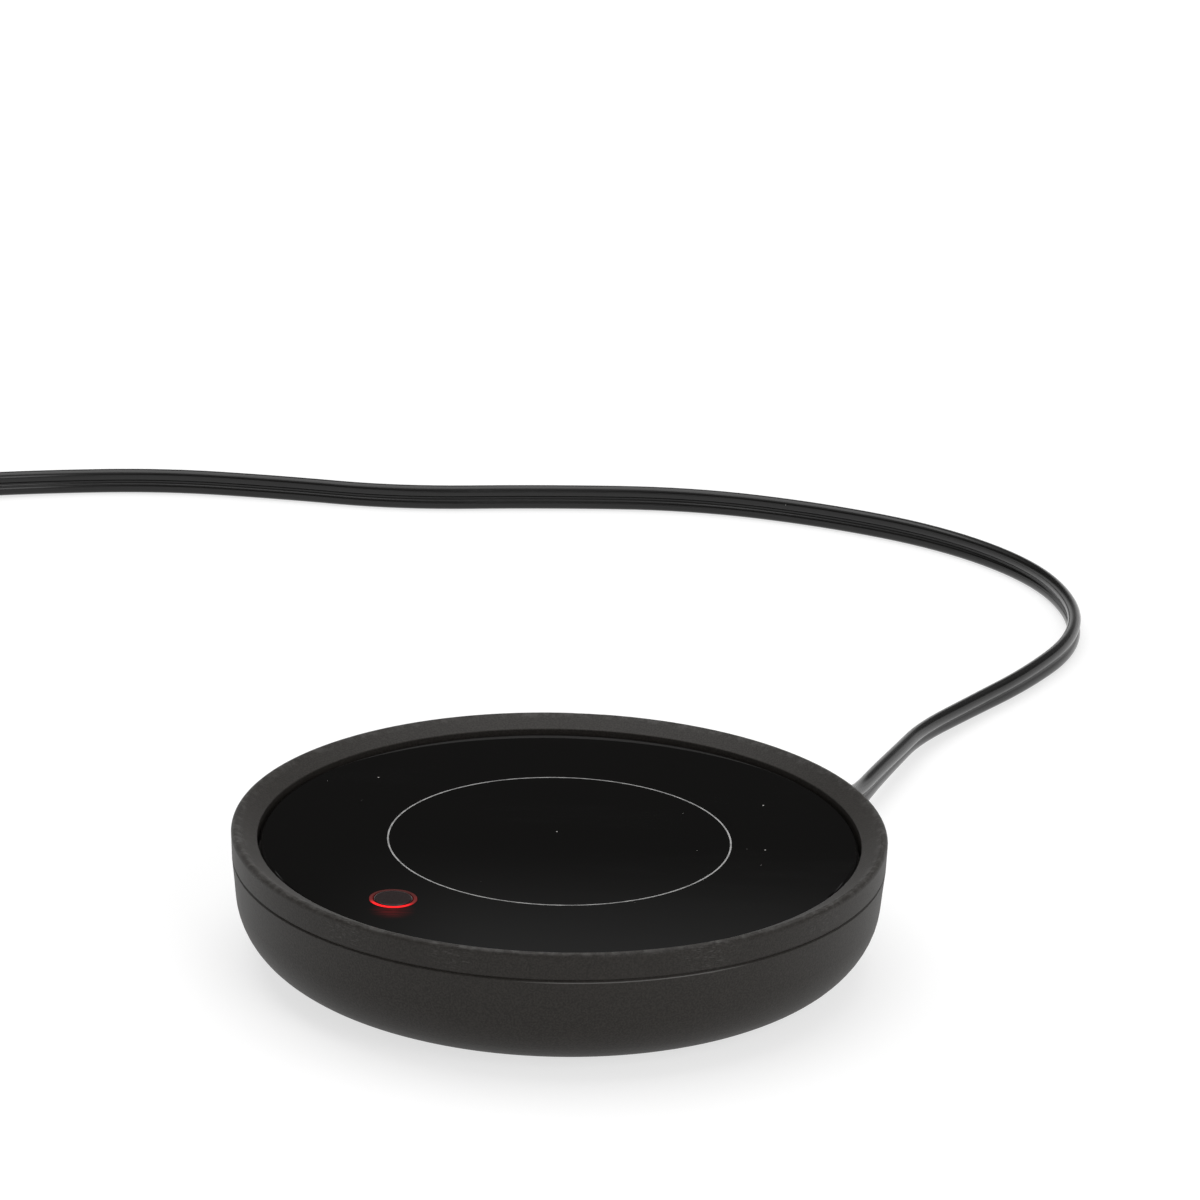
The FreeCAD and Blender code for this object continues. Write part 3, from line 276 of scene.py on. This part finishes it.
# %% Wrap a socket
class Flow:
    """What flows out of one socket of a node tree."""

    def __init__(self, tree, socket=None):
        self.tree = tree
        self.socket = socket

    def node(self, kind, sockets=None, out=0, **settings):
        """Add a node, set its settings, then give its sockets values or links."""
        made = self.tree.nodes.new(kind)
        for name, value in settings.items():
            setattr(made, name, value)
        for key, value in (sockets or {}).items():
            if isinstance(value, Flow):
                self.tree.links.new(value.socket, made.inputs[key])
            else:
                made.inputs[key].default_value = value
        return Flow(self.tree, made.outputs[out])

    def other(self, out):
        """Another output of the same node."""
        return Flow(self.tree, self.socket.node.outputs[out])

    def math(self, operation, *values):
        return self.node("ShaderNodeMath", dict(enumerate(values)), operation=operation)

    def __add__(self, value):
        return self.math("ADD", self, value)

    __radd__ = __add__

    def __sub__(self, value):
        return self.math("SUBTRACT", self, value)

    def __rsub__(self, value):
        return self.math("SUBTRACT", value, self)

    def __mul__(self, value):
        return self.math("MULTIPLY", self, value)

    def __gt__(self, value):
        return self.math("GREATER_THAN", self, value)

    def __lt__(self, value):
        return self.math("LESS_THAN", self, value)

    def rise(self, low, high):
        """0 below low, 1 above high, and a soft step between. It falls where high is below low."""
        return self.node("ShaderNodeMapRange", {"Value": self, "From Min": low, "From Max": high},
                         interpolation_type="SMOOTHSTEP")

    def mix(self, dark, light):
        """From one colour to another as this value goes from 0 to 1."""
        return self.node("ShaderNodeMix", {0: self, 6: dark, 7: light}, out=2, data_type="RGBA")

    def noise(self, scale, detail=2.0):
        return self.node("ShaderNodeTexNoise", {"Vector": self, "Scale": scale, "Detail": detail},
                         out="Fac")

    def cells(self, scale):
        """How far a place is from the middle of its own small region."""
        return self.node("ShaderNodeTexVoronoi", {"Vector": self, "Scale": scale}, out="Distance")

    def cell_value(self):
        """A random value for each region that the cells method made."""
        return self.node("ShaderNodeSeparateColor", {"Color": self.other("Color")})

    def axis(self, name):
        """One coordinate of a place or a direction."""
        return self.node("ShaderNodeSeparateXYZ", {"Vector": self}, out=name)

    def from_point(self, centre):
        """Distance from a point."""
        return self.node("ShaderNodeVectorMath", {0: self, 1: centre}, out="Value",
                         operation="DISTANCE")

    def stretched(self, factors):
        """The same place with each axis multiplied."""
        return self.node("ShaderNodeVectorMath", {0: self, 1: factors}, operation="MULTIPLY")

    def bump(self, strength, distance):
        return self.node("ShaderNodeBump", {"Strength": strength, "Distance": distance, "Height": self})


def grey(level, warmth=0.0):
    """A grey, a little redder than blue where warmth is above 0."""
    return (level * (1 + warmth), level, level * (1 - warmth), 1.0)


def new_finish(name, **constants):
    """A material with one Principled shader, and a Flow of the place on the piece, in metres."""
    material = bpy.data.materials.new(name)
    material.use_nodes = True
    shader = material.node_tree.nodes["Principled BSDF"]
    for socket, value in constants.items():
        shader.inputs[socket.replace("_", " ")].default_value = value
    place = Flow(material.node_tree).node("ShaderNodeTexCoord", out="Object")
    return material, place, shader


def feed(shader, **flows):
    """Link flows to the shader's sockets."""
    for socket, flow in flows.items():
        flow.tree.links.new(flow.socket, shader.inputs[socket.replace("_", " ")])


print("socket arithmetic ready")

# %% [markdown]
# ## Dust
#
# Nothing on a table stays perfectly clean. Voronoi cells give each point its own small region with a
# random colour: keeping only a few cells, and only the middle of each, leaves a sprinkle of specks.

# %% Describe dust
def specks(place, cell_size, speck_size, share):
    """1 on small dust specks, one in the given share of cells."""
    cells = place.cells(1 / cell_size)
    return (cells < speck_size / cell_size) * (cells.cell_value() > 1 - share)


print("dust ready")

# %% [markdown]
# ## Moulded housing
#
# The base and the rim are injection moulded in black plastic with a fine eroded texture, which scatters
# the light and makes the black look dark grey. A noise with grains of about a third of a millimetre feeds
# a Bump node. Handling polishes the rim's crest, which lowers its roughness there, and the same mask lays
# a painted highlight along the crest; that mask needs only the height. A few places along the front of
# the crest get pale, slightly rougher marks. The base's top edge catches the light just under the seam
# at the front, and a narrow painted highlight stands for that.

# %% Housing plastic
CREST_HEIGHT = 25.2 * MM
CREST_BAND_STARTS_BELOW = 0.8 * MM
CREST_BAND_FULL_BELOW = 0.1 * MM
SEAM_HEIGHT = 20.1 * MM
LIT_BAND_BOTTOM = SEAM_HEIGHT - 0.48 * MM
LIT_BAND_TOP = SEAM_HEIGHT - 0.26 * MM
LIT_REACH = 24 * MM
LIT_FULL = 12 * MM
MARK_CORE = 0.2
# Azimuth in degrees, then radius and height in millimetres, and for a pale crest mark its size in
# millimetres.
LIT_PLACE = (284.0, 60.0, 20.0)
CREST_MARK_PLACES = (
    (188.0, 60.0, 24.6, 8),
    (206.0, 60.0, 24.0, 5),
    (232.0, 59.8, 24.8, 9),
    (252.0, 59.6, 24.6, 6),
    (296.0, 59.6, 24.6, 9),
    (322.0, 59.6, 24.6, 8),
)


def rim_place(azimuth, radius, height):
    angle = math.radians(azimuth)
    return (radius * math.cos(angle) * MM, radius * math.sin(angle) * MM, height * MM)


def crest_marks(place):
    """Soft marks round some places on the crest, broken up by streaky noise."""
    marks = []
    for azimuth, radius, height, size in CREST_MARK_PLACES:
        reach = size * MM
        marks.append(place.from_point(rim_place(azimuth, radius, height)).rise(reach, reach * MARK_CORE))
    streaks = place.stretched((1.0, 1.0, 6.0)).noise(900.0, 6.0).rise(0.50, 0.74)
    return sum(marks[1:], marks[0]) * streaks


def housing_plastic():
    material, place, shader = new_finish("moulded_housing_plastic", Specular_IOR_Level=0.25)
    height = place.axis("Z")
    grain = place.noise(3000.0).rise(0.30, 0.72)
    pores = place.noise(1500.0, 3.0)
    patches = place.noise(30.0)
    crest = height.rise(CREST_HEIGHT - CREST_BAND_STARTS_BELOW, CREST_HEIGHT - CREST_BAND_FULL_BELOW)
    # Polish from handling lowers the crest's roughness, and the same mask paints a highlight along the
    # crest.
    wear_and_highlight = crest * place.noise(700.0, 5.0).rise(0.42, 0.70)
    # Pale, slightly rougher marks at a few places along the front of the crest.
    marks = crest_marks(place)
    dust = specks(place, cell_size=4.0 * MM, speck_size=0.10 * MM, share=0.14)
    band = (height > LIT_BAND_BOTTOM) * (height < LIT_BAND_TOP)
    lit = band * place.from_point(rim_place(*LIT_PLACE)).rise(LIT_REACH, LIT_FULL)
    tone = patches.mix(grey(0.0085, 0.20), grey(0.0130, 0.16))
    tone = (grain * 0.36).mix(tone, grey(0.044, 0.12))
    # Painted highlights pale the crest and the lit band under the seam; the crest marks are paler too.
    tone = (wear_and_highlight * 0.16 + marks * 0.24 + lit * 0.55).mix(tone, grey(0.17, 0.03))
    tone = (dust * 0.7).mix(tone, grey(0.30, 0.05))
    roughness = 0.50 + patches * 0.05 - wear_and_highlight * 0.05 + marks * 0.06
    relief = grain * 0.40 + pores * 0.45
    feed(shader, Base_Color=tone, Roughness=roughness, Normal=relief.bump(0.30, 0.08 * MM))
    return material


finishes = {"matte_black_housing": housing_plastic()}
print("housing plastic ready")

# %% [markdown]
# ## Black glass
#
# The plate is clear glass printed black on its back, so it looks like a black mirror: almost no colour of
# its own, and a sharp reflection that grows towards the far edge. A few dust specks and very faint smears
# from wiping are what show that a surface is there. Red light from the button's ring leaks a little way
# through the glass in front of the ring.

# %% Glass plate
button_low, button_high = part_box("button_cap")
BUTTON = (button_low + button_high) / 2
PLATE_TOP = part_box("warming_plate")[1].z
LEAK_IN_FRONT = 5.6 * MM
LEAK_REACH = 4.6 * MM


def plate_glass():
    material, place, shader = new_finish("black_glass", IOR=1.5, Emission_Strength=1.0)
    wipes = place.stretched((1.0, 3.5, 1.0)).noise(26.0, 4.0)
    dust = (specks(place, cell_size=5.5 * MM, speck_size=0.17 * MM, share=0.24)
            + specks(place, cell_size=2.3 * MM, speck_size=0.07 * MM, share=0.10))
    tone = dust.mix(grey(0.0042, 0.06), grey(0.42, 0.04))
    roughness = 0.022 + wipes.rise(0.5, 0.75) * 0.030 + dust * 0.5
    leak = place.from_point((BUTTON.x, BUTTON.y - LEAK_IN_FRONT, PLATE_TOP)).rise(LEAK_REACH, 0.0)
    streaks = place.stretched((0.3, 2.4, 1.0)).noise(900.0).rise(0.38, 0.66)
    glow = (leak * (0.35 + streaks * 0.65)).mix(grey(0.0), (0.085, 0.003, 0.004, 1.0))
    feed(shader, Base_Color=tone, Roughness=roughness, Emission_Color=glow)
    return material


finishes["black_glass"] = plate_glass()
print("glass ready, button at", [round(c, 4) for c in BUTTON])

# %% [markdown]
# ## Light ring, button and zone line
#
# One lamp under the near side lights the clear sleeve round the button, so the ring glows bright red
# there and fades to a dull red behind. The place round the ring decides how bright it is. The button
# itself is satin black, with a painted red glow towards its edge for the ring's light falling on it.
# The zone line is a thin pale print, a little worn.

# %% Light ring, button and zone print
RING_RADIUS = 4.3 * MM
LAMP_TO_THE_LEFT = 0.12
BUTTON_MIDDLE = 2.2 * MM
BUTTON_EDGE = 3.6 * MM


def ring_light():
    material, place, shader = new_finish("red_light_guide", Roughness=0.45, Specular_IOR_Level=0.03,
                                         Emission_Strength=1.0)
    towards_lamp = (BUTTON.y - place.axis("Y")) * (1 / RING_RADIUS)
    side = (place.axis("X") - BUTTON.x) * (1 / RING_RADIUS)
    bright = (towards_lamp - side * LAMP_TO_THE_LEFT).rise(0.25, 0.98)
    faint = (towards_lamp + 0.2).rise(-0.6, 0.9)
    cloudy = place.noise(900.0)
    glow = faint.mix((0.010, 0.0016, 0.0016, 1.0), (0.14, 0.006, 0.008, 1.0))
    glow = (bright * (0.86 + cloudy * 0.24)).mix(glow, (1.9, 0.010, 0.016, 1.0))
    tone = cloudy.mix((0.055, 0.014, 0.013, 1.0), (0.085, 0.018, 0.016, 1.0))
    feed(shader, Base_Color=tone, Emission_Color=glow)
    return material


def button_plastic():
    material, place, shader = new_finish("satin_button_plastic", Specular_IOR_Level=0.28,
                                         Emission_Strength=1.0)
    grain = place.noise(2600.0)
    # Painted red glow of the ring's light on the button, brighter towards the button's edge.
    edge = place.from_point(tuple(BUTTON)).rise(BUTTON_MIDDLE, BUTTON_EDGE)
    tone = grain.mix((0.0030, 0.0014, 0.0014, 1.0), (0.0052, 0.0024, 0.0023, 1.0))
    glow = edge.mix((0.0010, 0.0001, 0.0001, 1.0), (0.0045, 0.0003, 0.0003, 1.0))
    feed(shader, Base_Color=tone, Emission_Color=glow, Roughness=0.16 + grain * 0.08,
         Normal=grain.bump(0.15, 0.05 * MM))
    return material


def zone_print():
    material, place, shader = new_finish("fired_zone_line", Roughness=0.35)
    wear = place.noise(520.0, 3.0)
    tone = wear.rise(0.30, 0.62).mix(grey(0.20, 0.01), grey(0.40, 0.01))
    feed(shader, Base_Color=tone)
    return material


finishes["light_guide"] = ring_light()
finishes["button_plastic"] = button_plastic()
finishes["zone_print"] = zone_print()
print("light ring, button and zone line ready")

# %% [markdown]
# ## Lead, plug, tie and feet
#
# The jacket of the lead and its strain relief is soft black vinyl: glossy, with a very faint unevenness
# and some dust. The plug is moulded from a stiffer grade, which comes out of the mould a little duller.
# The tie and the rubber feet are duller still. One function with a few numbers makes all of them.

# %% Black vinyl and rubber
def vinyl(name, tone_low, tone_high, roughness, grain_scale, relief_depth, dust_share):
    material, place, shader = new_finish(name, Specular_IOR_Level=0.36)
    grain = place.noise(grain_scale, 3.0)
    patches = place.noise(60.0, 3.0)
    dust = specks(place, cell_size=2.6 * MM, speck_size=0.11 * MM, share=dust_share)
    tone = patches.mix(grey(tone_low, 0.02), grey(tone_high, 0.03))
    tone = (dust * 0.7).mix(tone, grey(0.30, 0.04))
    feed(shader, Base_Color=tone, Roughness=roughness + patches * 0.10 + grain * 0.04 + dust * 0.3,
         Normal=grain.bump(0.22, relief_depth))
    return material


# The slot, then vinyl's numbers in its own order.
for slot, *numbers in (
    ("lead_black", "glossy_lead_jacket", 0.0060, 0.0095, 0.12, 700.0, 0.012 * MM, 0.05),
    ("plug_black", "moulded_plug_vinyl", 0.012, 0.018, 0.38, 1900.0, 0.05 * MM, 0.05),
    ("tie_black", "coated_tie", 0.016, 0.024, 0.42, 1500.0, 0.04 * MM, 0.05),
    ("foot_rubber", "foot_rubber", 0.020, 0.032, 0.62, 1500.0, 0.06 * MM, 0.10),
):
    finishes[slot] = vinyl(*numbers)
print("vinyl ready")

# %% [markdown]
# ## Metals
#
# Rolled and plated sheet shows fine lines in the direction it was drawn. Stretching a noise along one axis
# makes such lines, which vary the roughness and the bump a little. A slower noise makes darker spots.

# %% Metals
def metal(name, colour_low, colour_high, roughness, drawn=(1.0, 12.0, 1.0), scale=900.0):
    material, place, shader = new_finish(name, Metallic=1.0)
    lines = place.stretched(drawn).noise(scale, 4.0)
    spots = place.noise(240.0, 4.0)
    tone = spots.rise(0.32, 0.72).mix(colour_low, colour_high)
    feed(shader, Base_Color=tone, Roughness=roughness + lines * 0.16,
         Normal=lines.bump(0.12, 0.02 * MM))
    return material


# The slot, then metal's numbers in its own order.
for slot, *numbers in (
    ("blade_brass", "plated_brass", (0.66, 0.60, 0.47, 1.0), (0.83, 0.77, 0.62, 1.0), 0.20,
     (1.0, 1.0, 14.0)),
    ("terminal_brass", "tinned_brass", (0.60, 0.48, 0.24, 1.0), (0.78, 0.63, 0.33, 1.0), 0.26),
    ("aluminium_plate", "rolled_aluminium", grey(0.62), grey(0.76), 0.28),
    ("pressed_steel", "zinc_plated_steel", grey(0.42, -0.02), grey(0.58, -0.02), 0.32),
    ("screw_steel", "screw_steel", grey(0.34), grey(0.50), 0.30, (1.0, 1.0, 1.0), 1600.0),
    ("resistance_alloy", "resistance_foil", grey(0.40, 0.04), grey(0.52, 0.04), 0.34),
):
    finishes[slot] = metal(*numbers)
print("metals ready")

# %% [markdown]
# ## Pieces inside
#
# The heater, board and switch only show when the housing is open. They still get a plain believable
# finish each: a moulded resin, a lacquer or a soft sheet differs mostly in colour, gloss and grain.

# %% Inner materials
def moulded(name, low, high, roughness, grain_scale=1400.0, depth=0.04 * MM):
    material, place, shader = new_finish(name)
    grain = place.noise(grain_scale, 3.0)
    patches = place.noise(90.0, 3.0)
    feed(shader, Base_Color=patches.rise(0.3, 0.7).mix(low, high), Roughness=roughness + grain * 0.12,
         Normal=grain.bump(0.25, depth))
    return material


def mica_sheet():
    material, place, shader = new_finish("pressed_mica", Specular_IOR_Level=0.6)
    flakes = place.cells(420.0)
    shade = flakes.cell_value()
    tone = shade.mix((0.44, 0.37, 0.24, 1.0), (0.66, 0.59, 0.43, 1.0))
    feed(shader, Base_Color=tone, Roughness=0.30 + shade * 0.25, Normal=flakes.bump(0.2, 0.05 * MM))
    return material


def felt():
    material, place, shader = new_finish("ceramic_felt", Roughness=0.95, Specular_IOR_Level=0.2)
    along = place.stretched((5.0, 1.0, 1.0)).noise(900.0, 6.0)
    across = place.stretched((1.0, 5.0, 1.0)).noise(900.0, 6.0)
    fibres = along + across
    tone = (fibres * 0.5).rise(0.35, 0.62).mix(grey(0.66, 0.02), grey(0.86, 0.02))
    feed(shader, Base_Color=tone, Normal=fibres.bump(0.5, 0.2 * MM))
    return material


def board_laminate():
    material, place, shader = new_finish("green_solder_mask", Coat_Weight=0.4)
    weave = place.stretched((1.0, 1.0, 0.0)).cells(620.0)
    patches = place.noise(160.0, 3.0)
    tone = (weave * 0.7 + patches * 0.3).mix((0.010, 0.085, 0.030, 1.0), (0.022, 0.135, 0.050, 1.0))
    feed(shader, Base_Color=tone, Roughness=0.32 + patches * 0.1, Normal=weave.bump(0.1, 0.03 * MM))
    return material


finishes["mica"] = mica_sheet()
finishes["felt_pad"] = felt()
finishes["board_laminate"] = board_laminate()
# The slot, then moulded's numbers in its own order.
for slot, *numbers in (
    ("silicone", "gasket_silicone", grey(0.46, 0.03), grey(0.58, 0.03), 0.55),
    ("switch_plastic", "switch_plastic", grey(0.016), grey(0.026), 0.42),
    ("led", "lamp_resin", (0.72, 0.62, 0.40, 1.0), (0.86, 0.78, 0.58, 1.0), 0.12),
    ("thermostat_resin", "phenolic", (0.030, 0.014, 0.008, 1.0), (0.050, 0.024, 0.013, 1.0), 0.40),
    ("fuse_case", "fuse_ceramic", grey(0.60, 0.06), grey(0.74, 0.06), 0.30),
    ("relay_case", "relay_case", grey(0.014), grey(0.022), 0.36),
    ("capacitor_case", "dipped_capacitor", (0.40, 0.22, 0.012, 1.0), (0.56, 0.33, 0.022, 1.0), 0.18),
    ("chip_resin", "chip_resin", grey(0.012), grey(0.020), 0.48),
    ("resistor_coat", "resistor_lacquer", (0.34, 0.22, 0.10, 1.0), (0.46, 0.32, 0.16, 1.0), 0.22),
    ("wire_black", "black_core", grey(0.010), grey(0.017), 0.32),
    ("wire_white", "glass_sleeve", grey(0.60, 0.02), grey(0.74, 0.02), 0.50, 2600.0, 0.10 * MM),
):
    finishes[slot] = moulded(*numbers)
print("inner materials ready:", len(finishes), "finishes in all")

# %% [markdown]
# ## Dress the pieces
#
# The record says which material slot each piece belongs to, so one loop gives every piece its finish. The
# lead isn't a piece of the frame, so it gets its own.

# %% Assign finishes
for entry in frame["record"]["subparts"]:
    piece = nodes[entry["node"]]
    piece.data.materials.clear()
    piece.data.materials.append(finishes[entry["material_slot"]])
lead_curve.materials.append(finishes["lead_black"])

# %% [markdown]
# ## The table
#
# The photograph has a pure white ground with a soft grey shadow. The table is a large pale plane. To the
# camera and to reflections it also glows a little, which lifts it to white and leaves the shadow in place,
# so the lamps can stay at a plain level. Farther off the glow takes over, as a swept paper would.

# %% Table
TABLE_SIZE = 12.0
PAPER_LEVEL = 0.86
GLOW_CENTRE = (0.0, 0.12, 0.0)
GLOW_NEAR = 0.55
GLOW_START = 0.16
GLOW_END = 0.40
GLOW_LEVEL = 1.24

table_mesh = bpy.data.meshes.new("table")
half = TABLE_SIZE / 2
corners = [(-half, -half, 0), (half, -half, 0), (half, half, 0), (-half, half, 0)]
table_mesh.from_pydata(corners, [], [(0, 1, 2, 3)])
table = bpy.data.objects.new("table", table_mesh)
bpy.context.scene.collection.objects.link(table)
paper, place, matt = new_finish("white_paper", Base_Color=grey(PAPER_LEVEL), Roughness=0.9,
                                Specular_IOR_Level=0.1)
ray = place.node("ShaderNodeLightPath", out="Is Camera Ray")
seen = ray + ray.other("Is Glossy Ray") + ray.other("Is Transmission Ray")
far = place.from_point(GLOW_CENTRE).rise(GLOW_START, GLOW_END)
glowing = seen * (GLOW_NEAR + far * (1 - GLOW_NEAR))
glow = place.node("ShaderNodeEmission", {"Color": grey(1.0), "Strength": GLOW_LEVEL})
surface = place.node("ShaderNodeMixShader",
                     {0: glowing, 1: Flow(paper.node_tree, matt.outputs[0]), 2: glow})
paper.node_tree.links.new(surface.socket, paper.node_tree.nodes["Material Output"].inputs["Surface"])
table.data.materials.append(paper)
print("table", TABLE_SIZE, "m wide")

# %% [markdown]
# ## Lamps and surroundings
#
# A large soft lamp hangs above and a little behind the object, and a smaller one fills in from the front.
# Reflections see another room than the one that gives the general light: white near the table and dark
# above, which is why a black mirror lying flat shows almost nothing from this height, while upright edges
# catch a pale line. Higher up, a faint sheen on the right lifts that side of the glass a little, and a half
# bright ceiling overhead is what the top of the lead and the rim's crest mirror. Each band is given by
# where it starts and where it is full, as the upward or sideways part of a direction.

# %% Lamps and world
LAMPS_AIM = (0.0, 0.08, 0.0)
ROOM_LEVEL = 0.36
HORIZON_LEVEL = 0.95
HORIZON_BAND = (0.355, 0.23)
CEILING_LEVEL = 0.022
SHEEN_LEVEL = 0.12
SHEEN_BAND = (0.372, 0.396)
SHEEN_SIDE = (-0.05, -0.01)
OVERHEAD_LEVEL = 0.50
OVERHEAD_BAND = (0.55, 0.72)


def softbox(name, place, size, watts):
    """A square area lamp that faces the object."""
    light = bpy.data.lights.new(name, "AREA")
    light.shape = "SQUARE"
    light.size = size
    light.energy = watts
    lamp = bpy.data.objects.new(name, light)
    lamp.location = place
    lamp.rotation_mode = "QUATERNION"
    lamp.rotation_quaternion = (Vector(LAMPS_AIM) - Vector(place)).to_track_quat("-Z", "Y")
    bpy.context.scene.collection.objects.link(lamp)


softbox("top_lamp", place=(-0.10, 0.36, 1.45), size=1.5, watts=15.0)
softbox("front_lamp", place=(0.75, -1.15, 0.85), size=0.8, watts=6.0)

world = bpy.data.worlds.new("studio")
bpy.context.scene.world = world
world.use_nodes = True
room = Flow(world.node_tree)
direction = room.node("ShaderNodeTexCoord", out="Generated")
upward = direction.axis("Z")
sideways = direction.axis("X")
mirrored = upward.rise(*HORIZON_BAND) * (HORIZON_LEVEL - CEILING_LEVEL) + CEILING_LEVEL
mirrored = mirrored + upward.rise(*SHEEN_BAND) * sideways.rise(*SHEEN_SIDE) * SHEEN_LEVEL
mirrored = mirrored + upward.rise(*OVERHEAD_BAND) * OVERHEAD_LEVEL
glossy = room.node("ShaderNodeLightPath", out="Is Glossy Ray")
strength = glossy * (mirrored - ROOM_LEVEL) + ROOM_LEVEL
background = world.node_tree.nodes["Background"]
background.inputs["Color"].default_value = grey(1.0)
world.node_tree.links.new(strength.socket, background.inputs["Strength"])
bpy.context.scene.view_settings.view_transform = "Standard"
print("two lamps and a room")
